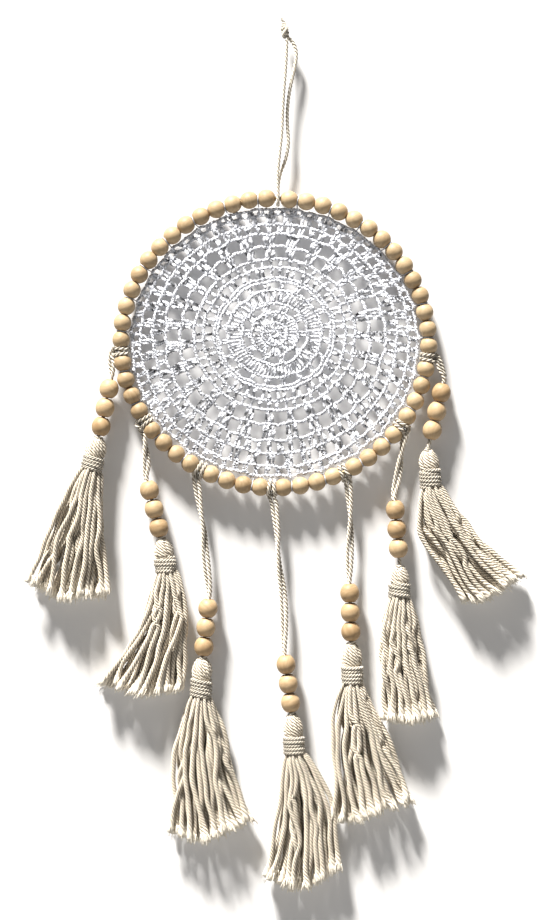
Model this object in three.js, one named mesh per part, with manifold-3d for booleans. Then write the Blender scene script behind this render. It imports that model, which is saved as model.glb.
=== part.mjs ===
// A dreamcatcher: a beaded wire hoop that holds a round crocheted doily, seven tassels on
// doubled cords with three beads each, and a knotted hanging loop. Millimetres, +Z up.
// The front faces -Y. The origin is at the foot of the loop's knot, where a nail carries it.

import * as THREE from 'three';
import { mergeVertices } from 'three/addons/utils/BufferGeometryUtils.js';
import Module from 'manifold-3d';

// Clearance that touching pieces keep.
const GAP = 0.35;

// The hoop is a wire bent into a slightly flattened ring.
const HOOP_CENTRE_X = -6;
const HOOP_CENTRE_Z = -199.5;
const HOOP_HALF_WIDTH = 100.5;
const HOOP_HALF_HEIGHT = 94.5;
const WIRE_RADIUS = 1.5;
const WIRE_SIDES = 5;
const WIRE_STEPS = 46;

// Beads are turned wood. Clockwise from the top, cords part them into these groups.
const RING_BEAD_RADIUS = 5.8;
const RING_BEAD_LENGTH = 11.2;
const RING_BEAD_END_RADIUS = 3;
const RING_BEAD_BORE_RADIUS = 2.5;
const BORE_SIDES = 5;
const RING_BEAD_GROUPS = [14, 4, 4, 4, 4, 4, 4, 14];
const LOOP_GAP_OFFSET = 2;
const HANGER_BEAD_RADIUS = 6.3;
const HANGER_BEAD_LENGTH = 12.1;
const HANGER_BEAD_PITCH = 12.6;
const HANGER_BEAD_BORE_RADIUS = 2.45;
const HANGER_BEADS = 3;
const BEAD_SIDES = 8;

// Cords are soft cotton. The hanging cords are doubled: each one's two legs lie side by side,
// drawn together where they leave the hoop and where they enter the first bead.
const HANGER_CORD_RADIUS = 1.45;
const HANGER_STEP = 10;
const PAIR_LOBE_ANGLES = [-75, 0, 75];
const PAIR_WAIST = 0.5;
const PAIR_AT_HOOP_WIDTH = 0.45;
const PAIR_IN_BORE_WIDTH = 0.62;
const PAIR_IN_BORE_DEPTH = 1.15;
const PAIR_OPENS_OVER = 10;
const PAIR_CLOSES_OVER = 30;
const LEAVES_COLLAR_AT = 3;
const CLEARS_HOOP_AT = 5.4;
const STRAIGHT_INTO_BEAD = 5;
const COLLAR_INNER_RADIUS = 2.2;
const COLLAR_OUTER_RADIUS = 4.2;
const COLLAR_DIP = 0.6;
const COLLAR_CREST = 0.6;
const COLLAR_SIDES = 8;

// The binding cord's turns round each tassel's neck.
const WRAP_CORD_PITCH = 2.5;
const WRAP_CORD_DEPTH = 1.8;
const WRAP_GROOVE = 0.6;
const WRAP_CLEARANCE = 0.45;

// The doily is stretched so that its middle sits above the hoop's centre.
const DOILY_THICKNESS = 1.6;
const DOILY_RADIUS = 94;
const DOILY_MIDDLE_RISE = 5.9;
const DOILY_EDGE_INSET = 6.15;
const DOILY_TIE_INSET = 3.9;
const DOILY_TIE_HALF_WIDTH = 2.2;

// Rounds of the doily with holes wider than 4 mm, from the middle out. Radius, width and
// height are in mm, and the first hole's turn from the top is in degrees.
const DOILY_ROUNDS = [
  { holes: 10, radius: 18.5, width: 6.4, height: 4.6, corners: 6, turn: 1 },
  { holes: 20, radius: 33.7, width: 7.2, height: 5, corners: 6, turn: -1 },
  { holes: 27, radius: 43.2, width: 4.3, height: 5.6, corners: 4, turn: 7.5 },
  { holes: 27, radius: 57.9, width: 9.8, height: 6, corners: 6, turn: 3.5 },
  { holes: 27, radius: 67.2, width: 9, height: 8.6, corners: 8, turn: 3.5 },
  { holes: 45, radius: 83.7, width: 5.2, height: 6.8, corners: 4, turn: 2 },
];

// Tassels: a head of folded cords, a neck under the binding cord, and a skirt of strands.
const HEAD_RADIUS = 7;
const HEAD_TOP_RADIUS = 3.2;
const HEAD_SHOULDER = 0.55;
const NECK_RADIUS = 5;
const HEAD_SIDES = 8;
const HEAD_SEAT = 0.8;

// Strands stand in rows from front to back. Each starts thin inside the neck's end, bows
// outwards for a share of its length, and fills out towards its tip.
const STRAND_ROWS = [5, 6, 5];
const STRAND_RADIUS = 1.75;
const STRAND_SIDES = 3;
const STRAND_FULLNESS = [0.45, 0.85, 1, 0.9];
const ROOT_DEPTH = 1.8;
const ROOT_OVERLAP = 0.3;
const ROOT_HALF_WIDTH = 5.6;
const ROOT_NARROWING = 0.5;
const ROOT_ROW_PITCH = 3.2;
const BOW_SHARE = 0.4;
const BOW_HALF_WIDTH = 6;
const BOW_ROW_PITCH = 2.6;
const TIP_ROW_PITCH = 6.5;
const TIP_UNEVENNESS = 2.5;
const TIP_PHASE = 2.4;

// One row for each hanging cord, from the left of the hoop round to its right. gap is the
// hoop's gap between bead groups. route holds the cord's x, y, z from the hoop down to the
// first bead, beads the x, z of the first and last bead, pairTurn the turn of its two legs in
// degrees. lean is the tassel's tilt to the right in degrees, dome its height above the
// binding, turns the binding's turns, tips the x, z of the skirt's left, lowest and right ends.
const HANGERS = [
  {
    name: 'far_left', gap: 6, pairTurn: [60, 100],
    route: [[-112.9, -0.5, -207], [-113.1, 0, -213], [-113.7, 0, -220.5]],
    beads: [[-114.4, -229.4], [-119.6, -254.1]],
    lean: -13, dome: 12, turns: 4, tips: [[-166, -359], [-146, -371.5], [-117, -366]],
  },
  {
    name: 'left', gap: 5, pairTurn: [50, 200],
    route: [[-97, -1.5, -254], [-93.2, -1.5, -260], [-90.3, -0.5, -271], [-88.9, 0, -282]],
    beads: [[-88, -295.8], [-81.8, -320.2]],
    lean: 8, dome: 12, turns: 4, tips: [[-121, -424], [-92, -433.5], [-69, -429.5]],
  },
  {
    name: 'near_left', gap: 4, pairTurn: [40, 330],
    route: [
      [-57.6, -1, -288], [-55.4, -0.5, -298], [-54, 0, -309], [-52.4, 0, -322],
      [-52, 0, -335], [-51.2, 0, -348], [-50.1, 0, -360],
    ],
    beads: [[-49.7, -373], [-52.4, -398.2]],
    lean: -3, dome: 13, turns: 5, tips: [[-72, -523], [-54, -530], [-22, -515]],
  },
  {
    name: 'middle', gap: 3, pairTurn: [90, 430],
    route: [
      [-6.9, 0, -300], [-5.9, 0, -309], [-4.4, 0, -322], [-3.9, 0, -335], [-2.9, 0, -348],
      [-0.9, 0, -361], [0, 0, -374], [0.2, 0, -387], [0.8, 0, -398],
    ],
    beads: [[1.3, -409.7], [4.3, -434.8]],
    lean: 4, dome: 14, turns: 5, tips: [[-12, -550.5], [8.5, -561], [33, -547]],
  },
  {
    name: 'near_right', gap: 2, pairTurn: [110, 400],
    route: [
      [41.3, -1, -290], [42.5, -0.5, -299], [43.4, 0, -311], [43.5, 0, -323],
      [43, 0, -336], [42.8, 0, -348],
    ],
    beads: [[43, -363], [43.7, -388.2]],
    lean: 2, dome: 14.5, turns: 5, tips: [[35, -513], [45, -517], [85, -501]],
  },
  {
    name: 'right', gap: 1, pairTurn: [120, 260],
    route: [[82.5, -1, -258], [78.6, -1, -265], [76.6, 0, -277], [74.9, 0, -289]],
    beads: [[72.8, -308.6], [74.8, -333.8]],
    lean: -1, dome: 10.5, turns: 4, tips: [[68, -448.5], [84, -451], [95.5, -447]],
  },
  {
    name: 'far_right', gap: 0, pairTurn: [120, 80],
    route: [[100.9, -0.5, -210.5], [101.6, 0, -216], [102.3, 0, -222]],
    beads: [[102.8, -232], [97, -256.4]],
    lean: 5, dome: 12, turns: 5, tips: [[123, -370], [130, -372], [156, -354]],
  },
];

// The cord that shows between the last bead and the tassel's head.
const HEAD_DROP = { right: 4.5, far_right: 6 };

// The hanging loop's cord: down its left leg, under the hoop's wire and up its right leg.
const LOOP_ROUTE = [
  [1.9, -1.4, -0.8], [1.6, -1.5, -7], [1.3, -1.6, -14.5], [0.6, -1.7, -25], [-0.3, -1.7, -36.5],
  [-1, -1.7, -49], [-1.6, -1.8, -62.5], [-3.1, -2, -77], [-4.2, -2.5, -90], [-4.1, -3.3, -99],
  [-4, -3.9, -104.7], [-4, -2.9, -108.1], [-4, 0, -109.3], [-4, 2.9, -108.1], [-4, 3.9, -104.7],
  [-4, 3.1, -98], [-2.6, 2.2, -89], [1.1, 1.7, -79], [2.9, 1.6, -68], [2.3, 1.6, -58],
  [2.2, 1.6, -48], [3.3, 1.6, -37], [5.2, 1.5, -27], [7.4, 1.5, -17], [8.2, 1.5, -9.5],
  [6.6, 1.4, -3.6], [4.1, 1.4, -0.9],
];
const LOOP_CORD_RADIUS = 1.25;
const LOOP_SIDES = 8;
const LOOP_STEPS = 34;

// The loop's knot: shares of its radius and height up its side, and its two cut ends.
const KNOT_X = 1.8;
const KNOT_TILT = -0.25;
const KNOT_HEIGHT = 9;
const KNOT_RADIUS = 2.6;
const KNOT_SIDES = 8;
const KNOT_PROFILE = [[0, 0], [0.8, 0], [1, 0.2], [0.82, 0.45], [1, 0.7], [0.6, 1], [0, 1]];
const KNOT_ENDS = [{ x: -1.3, tilt: 0.12 }, { x: 1, tilt: -0.1 }];
const KNOT_END_LENGTH = 8;
const KNOT_END_ROOT = 1.8;
const KNOT_END_RADII = [0.7, 1.2];
const KNOT_END_SIDES = 6;

const COTTON = { color: 0xe6dcc2, roughness: 0.95, metalness: 0 };
const LACE = { color: 0xf4f4f6, roughness: 0.95, metalness: 0 };
const WOOD = { color: 0xe3bf8b, roughness: 0.55, metalness: 0 };
const STEEL = { color: 0xb9a878, roughness: 0.35, metalness: 1 };

const wasm = await Module();
wasm.setup();

const toRadians = THREE.MathUtils.degToRad;
const DEPTH = new THREE.Vector3(0, 1, 0);

// The hoop's line, clockwise from its top as seen from the front.
class HoopLine extends THREE.Curve {
  getPoint(t, target = new THREE.Vector3()) {
    const angle = 2 * Math.PI * t;
    return target.set(
      HOOP_CENTRE_X + HOOP_HALF_WIDTH * Math.sin(angle),
      0,
      HOOP_CENTRE_Z + HOOP_HALF_HEIGHT * Math.cos(angle),
    );
  }
}

const hoopLine = new HoopLine();
hoopLine.arcLengthDivisions = 1440;
const HOOP_LENGTH = hoopLine.getLength();

// A place on the hoop, with the direction along the wire and the one out of the hoop.
function hoopPlace(distance) {
  const share = (((distance / HOOP_LENGTH) % 1) + 1) % 1;
  const along = hoopLine.getTangentAt(share);
  const outward = new THREE.Vector3(-along.z, 0, along.x);
  return { point: hoopLine.getPointAt(share), along, outward };
}

// Bead groups and the gaps after them, as distances along the hoop.
function layOutHoop() {
  const beads = RING_BEAD_GROUPS.reduce((sum, count) => sum + count, 0);
  const gapLength = (HOOP_LENGTH - beads * RING_BEAD_LENGTH) / RING_BEAD_GROUPS.length;
  const groups = [];
  const gaps = [];
  let distance = LOOP_GAP_OFFSET + gapLength / 2;
  for (const count of RING_BEAD_GROUPS) {
    groups.push({ start: distance, count });
    distance += count * RING_BEAD_LENGTH;
    gaps.push(distance + gapLength / 2);
    distance += gapLength;
  }
  return { groups, gaps, gapLength };
}

const hoop = layOutHoop();

// A closed solid with its shared corners merged.
function toSolid(geometry) {
  const bare = geometry.clone();
  bare.deleteAttribute('normal');
  bare.deleteAttribute('uv');
  const merged = mergeVertices(bare, 1e-4);
  return new wasm.Manifold(new wasm.Mesh({
    numProp: 3,
    vertProperties: new Float32Array(merged.attributes.position.array),
    triVerts: new Uint32Array(merged.index.array),
  }));
}

function toGeometry(solid) {
  const mesh = solid.getMesh();
  const geometry = new THREE.BufferGeometry();
  geometry.setAttribute('position', new THREE.BufferAttribute(mesh.vertProperties, 3));
  geometry.setIndex(new THREE.BufferAttribute(mesh.triVerts, 1));
  geometry.computeVertexNormals();
  return geometry;
}

function join(geometries) {
  return toGeometry(geometries.map(toSolid).reduce((all, next) => all.add(next)));
}

// Moves every point of a geometry by a function of its own place.
function reshape(geometry, move) {
  const position = geometry.attributes.position;
  const point = new THREE.Vector3();
  for (let i = 0; i < position.count; i += 1) {
    move(point.fromBufferAttribute(position, i));
    position.setXYZ(i, point.x, point.y, point.z);
  }
  return geometry;
}

function lathe(profile, sides) {
  const points = profile.map(([radius, height]) => new THREE.Vector2(radius, height));
  return new THREE.LatheGeometry(points, sides);
}

function piece(name, geometry, finish) {
  const mesh = new THREE.Mesh(geometry, new THREE.MeshStandardMaterial(finish));
  mesh.name = name;
  return mesh;
}

// Bends what was made round the Y axis onto the hoop, its length from a start distance.
function bendOnHoop(geometry, start) {
  return reshape(geometry, (point) => {
    const place = hoopPlace(start + point.y);
    const { x, z } = point;
    point.copy(place.point)
      .addScaledVector(place.outward, x)
      .addScaledVector(DEPTH, z);
  });
}

// The wire is one ring.
function wireGeometry() {
  const ring = new THREE.TorusGeometry(HOOP_HALF_WIDTH, WIRE_RADIUS, WIRE_SIDES, WIRE_STEPS);
  return reshape(ring, (point) => {
    const share = Math.atan2(point.y, point.x) / (2 * Math.PI);
    const place = hoopPlace(share * HOOP_LENGTH);
    const out = Math.hypot(point.x, point.y) - HOOP_HALF_WIDTH;
    const depth = point.z;
    point.copy(place.point)
      .addScaledVector(place.outward, out)
      .addScaledVector(DEPTH, depth);
  });
}

// Beads pushed close together, with one bore through them for the wire.
function beadStringGeometry(group) {
  const end = group.count * RING_BEAD_LENGTH;
  const outside = [[0, 0]];
  const bore = [[0, -1]];
  for (let bead = 0; bead < group.count; bead += 1) {
    outside.push([RING_BEAD_END_RADIUS, bead * RING_BEAD_LENGTH]);
    outside.push([RING_BEAD_RADIUS, (bead + 1 / 3) * RING_BEAD_LENGTH]);
    outside.push([RING_BEAD_RADIUS, (bead + 2 / 3) * RING_BEAD_LENGTH]);
    bore.push([RING_BEAD_BORE_RADIUS, bead === 0 ? -1 : bead * RING_BEAD_LENGTH]);
  }
  outside.push([RING_BEAD_END_RADIUS, end], [0, end]);
  bore.push([RING_BEAD_BORE_RADIUS, end + 1], [0, end + 1]);
  const string = toSolid(bendOnHoop(lathe(outside, BEAD_SIDES), group.start));
  const hole = toSolid(bendOnHoop(lathe(bore, BORE_SIDES), group.start));
  return toGeometry(string.subtract(hole));
}

// A point of the doily, from its radius and its turn from the top.
function doilyPoint(radius, turn) {
  const share = radius / DOILY_RADIUS;
  const rise = DOILY_MIDDLE_RISE * (1 - share ** 4);
  const halfWidth = HOOP_HALF_WIDTH - DOILY_EDGE_INSET;
  const halfHeight = HOOP_HALF_HEIGHT - DOILY_EDGE_INSET;
  return new THREE.Vector2(
    HOOP_CENTRE_X + halfWidth * share * Math.sin(turn),
    HOOP_CENTRE_Z + rise + halfHeight * share * Math.cos(turn),
  );
}

function doilyHole(round, index) {
  const middle = toRadians(round.turn) + (2 * Math.PI * index) / round.holes;
  const half = Math.PI / round.corners;
  const reach = 1 / Math.cos(half);
  const corners = [];
  for (let corner = 0; corner < round.corners; corner += 1) {
    const angle = half + (2 * Math.PI * corner) / round.corners;
    const across = (reach * Math.cos(angle) * round.width) / 2;
    const out = (reach * Math.sin(angle) * round.height) / 2;
    corners.push(doilyPoint(round.radius + out, middle + across / round.radius));
  }
  return new THREE.Path(corners);
}

// The edge lies inside the beads and is drawn out to the wire at every other bead joint.
function doilyOutline() {
  const points = [];
  const edgePoint = (distance, inset) => {
    const place = hoopPlace(distance);
    const point = place.point.addScaledVector(place.outward, -inset);
    points.push(new THREE.Vector2(point.x, point.z));
  };
  for (const group of hoop.groups) {
    for (let joint = 1; joint < group.count; joint += 2) {
      const distance = group.start + joint * RING_BEAD_LENGTH;
      edgePoint(distance - DOILY_TIE_HALF_WIDTH, DOILY_EDGE_INSET);
      edgePoint(distance, DOILY_TIE_INSET);
      edgePoint(distance + DOILY_TIE_HALF_WIDTH, DOILY_EDGE_INSET);
    }
  }
  return points;
}

function doilyGeometry() {
  const shape = new THREE.Shape(doilyOutline());
  for (const round of DOILY_ROUNDS) {
    for (let index = 0; index < round.holes; index += 1) {
      shape.holes.push(doilyHole(round, index));
    }
  }
  const flat = { depth: DOILY_THICKNESS, bevelEnabled: false };
  const geometry = new THREE.ExtrudeGeometry(shape, flat);
  geometry.rotateX(Math.PI / 2);
  geometry.translate(0, DOILY_THICKNESS / 2, 0);
  return geometry;
}

// The doubled cord's turns round the wire, drawn tight between two beads.
function collarGeometry(gapDistance) {
  const half = hoop.gapLength / 2 - GAP;
  const crest = half * COLLAR_CREST;
  const profile = [
    [COLLAR_INNER_RADIUS, -half],
    [COLLAR_OUTER_RADIUS, -crest],
    [COLLAR_OUTER_RADIUS - COLLAR_DIP, 0],
    [COLLAR_OUTER_RADIUS, crest],
    [COLLAR_INNER_RADIUS, half],
    [COLLAR_INNER_RADIUS, -half],
  ];
  return bendOnHoop(lathe(profile, COLLAR_SIDES), gapDistance);
}

// Carries an outline along stations that say its place, direction, turn, width and depth.
function sectionAlong(outline, stations) {
  const steps = stations.length - 1;
  const straight = { depth: 1, steps, bevelEnabled: false };
  const geometry = new THREE.ExtrudeGeometry(new THREE.Shape(outline), straight);
  return reshape(geometry, (point) => {
    const station = stations[Math.round(point.z * steps)];
    const side = station.along.clone().cross(DEPTH).normalize();
    const back = station.along.clone().cross(side);
    const turn = toRadians(station.turn ?? 0);
    const x = point.x * station.width;
    const y = point.y * station.depth;
    point.copy(station.point)
      .addScaledVector(side, x * Math.cos(turn) - y * Math.sin(turn))
      .addScaledVector(back, x * Math.sin(turn) + y * Math.cos(turn));
  });
}

// A round outline with a few sides, one corner to the front.
function ringOutline(radius, sides) {
  const outline = [];
  for (let corner = 0; corner < sides; corner += 1) {
    const angle = (2 * Math.PI * corner) / sides - Math.PI / 2;
    outline.push(new THREE.Vector2(radius * Math.cos(angle), radius * Math.sin(angle)));
  }
  return outline;
}

// The outline of two cords side by side.
function pairOutline() {
  const right = PAIR_LOBE_ANGLES.map((angle) => new THREE.Vector2(
    HANGER_CORD_RADIUS * (1 + Math.cos(toRadians(angle))),
    HANGER_CORD_RADIUS * Math.sin(toRadians(angle)),
  ));
  const waist = new THREE.Vector2(0, HANGER_CORD_RADIUS * PAIR_WAIST);
  const left = right.map((point) => point.clone().negate());
  return [...right, waist, ...left, waist.clone().negate()];
}

function beadMiddles(hanger) {
  const first = new THREE.Vector3(hanger.beads[0][0], 0, hanger.beads[0][1]);
  const last = new THREE.Vector3(hanger.beads[1][0], 0, hanger.beads[1][1]);
  const down = last.clone().sub(first).normalize();
  const middles = [];
  for (let bead = 0; bead < HANGER_BEADS; bead += 1) {
    middles.push(first.clone().addScaledVector(down, bead * HANGER_BEAD_PITCH));
  }
  return { middles, down };
}

// Where the tassel's head starts, below the last bead.
function headTop(hanger) {
  const { middles, down } = beadMiddles(hanger);
  const drop = HEAD_DROP[hanger.name] ?? 0;
  return middles.at(-1).addScaledVector(down, HANGER_BEAD_LENGTH / 2 + HEAD_SEAT + drop);
}

// The tassel's way down and across, from its lean.
function tasselAxes(hanger) {
  const lean = toRadians(hanger.lean);
  return {
    headDown: new THREE.Vector3(Math.sin(lean), 0, -Math.cos(lean)),
    across: new THREE.Vector3(Math.cos(lean), 0, Math.sin(lean)),
  };
}

// The doubled cord: round the wire, down both legs and through the beads as one body.
function hangerGeometry(hanger) {
  const { middles, down } = beadMiddles(hanger);
  const place = hoopPlace(hoop.gaps[hanger.gap]);
  const start = place.point.clone().addScaledVector(place.outward, LEAVES_COLLAR_AT);
  const out = place.point.clone().addScaledVector(place.outward, CLEARS_HOOP_AT);
  const into = middles[0].clone().addScaledVector(down, -HANGER_BEAD_LENGTH / 2);
  const above = into.clone().addScaledVector(down, -STRAIGHT_INTO_BEAD);
  const { headDown } = tasselAxes(hanger);
  const end = headTop(hanger).addScaledVector(headDown, -GAP);
  const route = hanger.route.map(([x, y, z]) => new THREE.Vector3(x, y, z));
  const points = [start, out, ...route, above, into];
  const free = new THREE.CatmullRomCurve3(points, false, 'centripetal');
  const freeLength = free.getLength();
  const freeSteps = Math.max(4, Math.round(freeLength / HANGER_STEP));
  const stations = [];
  for (let step = 0; step <= freeSteps; step += 1) {
    const share = step / freeSteps;
    const distance = share * freeLength;
    const fromHoop = Math.min(1, PAIR_AT_HOOP_WIDTH + distance / PAIR_OPENS_OVER);
    const beforeBead = (freeLength - distance) / PAIR_CLOSES_OVER;
    const toBead = Math.min(1, PAIR_IN_BORE_WIDTH + beforeBead);
    stations.push({
      point: free.getPointAt(share),
      along: free.getTangentAt(share),
      turn: THREE.MathUtils.lerp(hanger.pairTurn[0], hanger.pairTurn[1], share),
      width: Math.min(fromHoop, toBead),
      depth: share === 1 ? PAIR_IN_BORE_DEPTH : 1,
    });
  }
  stations.push({ ...stations.at(-1), point: end, along: headDown });
  const pair = sectionAlong(pairOutline(), stations);
  return join([collarGeometry(hoop.gaps[hanger.gap]), pair]);
}

function hangerBeadGeometry() {
  const half = HANGER_BEAD_LENGTH / 2;
  const shoulder = HANGER_BEAD_LENGTH / 5;
  return lathe([
    [HANGER_BEAD_BORE_RADIUS, -half],
    [HANGER_BEAD_RADIUS, -shoulder],
    [HANGER_BEAD_RADIUS, shoulder],
    [HANGER_BEAD_BORE_RADIUS, half],
    [HANGER_BEAD_BORE_RADIUS, -half],
  ], BEAD_SIDES);
}

function bindingLength(hanger) {
  return hanger.turns * WRAP_CORD_PITCH;
}

// The head and neck, their top at the origin and their axis down.
function headGeometry(hanger) {
  const neckTop = -hanger.dome;
  const neckEnd = neckTop - bindingLength(hanger) - 2 * GAP;
  return lathe([
    [0, neckEnd - ROOT_DEPTH],
    [HEAD_RADIUS, neckEnd - ROOT_DEPTH],
    [NECK_RADIUS, neckEnd],
    [NECK_RADIUS, neckTop],
    [HEAD_RADIUS, neckTop],
    [HEAD_RADIUS, neckTop + hanger.dome * HEAD_SHOULDER],
    [HEAD_TOP_RADIUS, 0],
    [0, 0],
  ], HEAD_SIDES);
}

// The binding cord's turns round the neck.
function bindingGeometry(hanger) {
  const inner = NECK_RADIUS + WRAP_CLEARANCE;
  const groove = inner + WRAP_CORD_DEPTH * WRAP_GROOVE;
  const top = -hanger.dome - GAP;
  const profile = [[inner, top - bindingLength(hanger)]];
  for (let turn = hanger.turns - 1; turn >= 0; turn -= 1) {
    const upper = top - turn * WRAP_CORD_PITCH;
    profile.push([groove, upper - WRAP_CORD_PITCH]);
    profile.push([inner + WRAP_CORD_DEPTH, upper - WRAP_CORD_PITCH / 2]);
  }
  profile.push([groove, top], [inner, top], profile[0]);
  return lathe(profile, HEAD_SIDES);
}

// A place along the line through the skirt's left, lowest and right ends.
function tipPlace(hanger, share) {
  const [left, lowest, right] = hanger.tips;
  const bend = (lowest[0] - left[0]) / (right[0] - left[0]);
  const [from, to, part] = share < bend
    ? [left, lowest, share / bend]
    : [lowest, right, (share - bend) / (1 - bend)];
  return new THREE.Vector3(
    THREE.MathUtils.lerp(from[0], to[0], part),
    0,
    THREE.MathUtils.lerp(from[1], to[1], part),
  );
}

// One strand of the skirt, from inside the neck's end to its cut tip.
function strandGeometry(hanger, row, column) {
  const { headDown, across } = tasselAxes(hanger);
  const layer = row - (STRAND_ROWS.length - 1) / 2;
  const share = (column + 0.5) / STRAND_ROWS[row];
  const aside = share * 2 - 1;
  const neckEnd = hanger.dome + bindingLength(hanger) + 2 * GAP;
  const rootHalfWidth = ROOT_HALF_WIDTH - Math.abs(layer) * ROOT_NARROWING;
  const root = headTop(hanger)
    .addScaledVector(headDown, neckEnd + ROOT_DEPTH - ROOT_OVERLAP)
    .addScaledVector(across, aside * rootHalfWidth)
    .addScaledVector(DEPTH, layer * ROOT_ROW_PITCH);
  const tip = tipPlace(hanger, share);
  tip.y = layer * TIP_ROW_PITCH;
  tip.z += TIP_UNEVENNESS * Math.sin((row * STRAND_ROWS[1] + column) * TIP_PHASE);
  const bow = root.clone()
    .addScaledVector(headDown, root.distanceTo(tip) * BOW_SHARE)
    .addScaledVector(across, aside * BOW_HALF_WIDTH)
    .addScaledVector(DEPTH, layer * BOW_ROW_PITCH);
  const line = new THREE.QuadraticBezierCurve3(root, bow, tip);
  const stations = STRAND_FULLNESS.map((fullness, step) => {
    const t = step / (STRAND_FULLNESS.length - 1);
    return { point: line.getPoint(t), along: line.getTangent(t), width: fullness, depth: fullness };
  });
  return sectionAlong(ringOutline(STRAND_RADIUS, STRAND_SIDES), stations);
}

// Stands the lathe's axis upright, leans it and moves it to the head's top.
function tasselPlace(hanger) {
  const top = headTop(hanger);
  const upright = new THREE.Matrix4().makeRotationX(Math.PI / 2);
  const lean = new THREE.Matrix4().makeRotationY(-toRadians(hanger.lean));
  const move = new THREE.Matrix4().makeTranslation(top.x, top.y, top.z);
  return move.multiply(lean).multiply(upright);
}

function tasselGeometry(hanger) {
  const head = headGeometry(hanger);
  head.applyMatrix4(tasselPlace(hanger));
  const parts = [head];
  STRAND_ROWS.forEach((strands, row) => {
    for (let column = 0; column < strands; column += 1) {
      parts.push(strandGeometry(hanger, row, column));
    }
  });
  return join(parts);
}

function loopGeometry() {
  const points = LOOP_ROUTE.map(([x, y, z]) => new THREE.Vector3(x, y, z));
  const line = new THREE.CatmullRomCurve3(points, false, 'centripetal');
  const section = new THREE.Shape(ringOutline(LOOP_CORD_RADIUS, LOOP_SIDES));
  const along = { steps: LOOP_STEPS, extrudePath: line, bevelEnabled: false };
  return new THREE.ExtrudeGeometry(section, along);
}

// The overhand knot's lump, with the two cut ends above it.
function knotGeometry() {
  const side = KNOT_PROFILE.map(([out, up]) => [out * KNOT_RADIUS, up * KNOT_HEIGHT]);
  const ends = KNOT_ENDS.map(({ x, tilt }) => {
    const end = new THREE.CylinderGeometry(...KNOT_END_RADII, KNOT_END_LENGTH, KNOT_END_SIDES);
    end.rotateZ(tilt);
    end.translate(x, KNOT_HEIGHT + KNOT_END_LENGTH / 2 - KNOT_END_ROOT, 0);
    return end;
  });
  const knot = join([lathe(side, KNOT_SIDES), ...ends]);
  knot.rotateX(Math.PI / 2);
  return knot;
}

const dreamcatcher = new THREE.Group();
dreamcatcher.add(piece('hoop_wire', wireGeometry(), STEEL));
hoop.groups.forEach((group, index) => {
  dreamcatcher.add(piece(`ring_beads_${index + 1}`, beadStringGeometry(group), WOOD));
});
dreamcatcher.add(piece('doily', doilyGeometry(), LACE));

for (const hanger of HANGERS) {
  dreamcatcher.add(piece(`hanger_${hanger.name}`, hangerGeometry(hanger), COTTON));
  const { middles, down } = beadMiddles(hanger);
  const up = down.clone().negate();
  middles.forEach((middle, index) => {
    const bead = piece(`bead_${hanger.name}_${index + 1}`, hangerBeadGeometry(), WOOD);
    bead.position.copy(middle);
    bead.quaternion.setFromUnitVectors(DEPTH, up);
    dreamcatcher.add(bead);
  });
  dreamcatcher.add(piece(`tassel_${hanger.name}`, tasselGeometry(hanger), COTTON));
  const binding = piece(`binding_${hanger.name}`, bindingGeometry(hanger), COTTON);
  binding.applyMatrix4(tasselPlace(hanger));
  dreamcatcher.add(binding);
}

dreamcatcher.add(piece('hanging_loop', loopGeometry(), COTTON));
const knot = piece('loop_knot', knotGeometry(), COTTON);
knot.rotation.y = KNOT_TILT;
knot.position.x = KNOT_X;
dreamcatcher.add(knot);

export default dreamcatcher;
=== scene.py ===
# A dreamcatcher: a hoop of wooden beads round a crocheted doily, seven cotton tassels on
# doubled cords with three beads each, and a knotted loop to hang it by. Metres, +Z up, the
# front faces -Y, and the origin is at the foot of the loop's knot.
import math
import random

import bpy
import numpy as np
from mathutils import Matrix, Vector


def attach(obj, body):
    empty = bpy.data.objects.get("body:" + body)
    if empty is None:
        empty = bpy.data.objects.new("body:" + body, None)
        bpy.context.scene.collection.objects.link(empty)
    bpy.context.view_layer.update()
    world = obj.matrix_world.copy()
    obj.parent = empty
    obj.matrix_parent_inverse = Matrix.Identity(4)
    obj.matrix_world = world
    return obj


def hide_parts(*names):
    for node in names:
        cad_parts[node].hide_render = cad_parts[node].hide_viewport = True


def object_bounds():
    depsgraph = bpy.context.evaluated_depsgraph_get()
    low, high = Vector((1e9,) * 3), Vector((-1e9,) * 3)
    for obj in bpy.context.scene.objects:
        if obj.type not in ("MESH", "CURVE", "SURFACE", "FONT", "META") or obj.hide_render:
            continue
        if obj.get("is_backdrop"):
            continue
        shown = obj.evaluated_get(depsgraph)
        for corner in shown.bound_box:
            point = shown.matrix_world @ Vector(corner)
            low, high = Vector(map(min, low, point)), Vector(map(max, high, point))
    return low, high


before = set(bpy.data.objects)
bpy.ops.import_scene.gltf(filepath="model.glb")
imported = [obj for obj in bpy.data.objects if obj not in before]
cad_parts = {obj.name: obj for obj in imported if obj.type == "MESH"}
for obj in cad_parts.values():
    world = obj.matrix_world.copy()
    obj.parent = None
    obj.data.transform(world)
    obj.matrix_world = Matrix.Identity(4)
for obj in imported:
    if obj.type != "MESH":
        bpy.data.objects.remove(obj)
cad_box = [list(corner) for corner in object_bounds()]

# Camera
# It stands square to the hoop with a long lens, so that the whole piece fills an upright frame
# of 542 by 920 pixels, which shows 0.602 m from top to bottom.
view_middle = Vector((-0.0085, 0.0, -0.2760))
view_height = 0.6017
view_distance = 1.9


def add_object(name, data):
    """A new object, placed in the scene."""
    placed = bpy.data.objects.new(name, data)
    bpy.context.collection.objects.link(placed)
    return placed


camera = add_object("camera", bpy.data.cameras.new("camera"))
camera.data.lens = camera.data.sensor_width * view_distance / view_height
camera.location = view_middle + Vector((0.0, -view_distance, 0.0))
camera.rotation_euler = (math.radians(90), 0.0, 0.0)
bpy.context.scene.camera = camera


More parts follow.
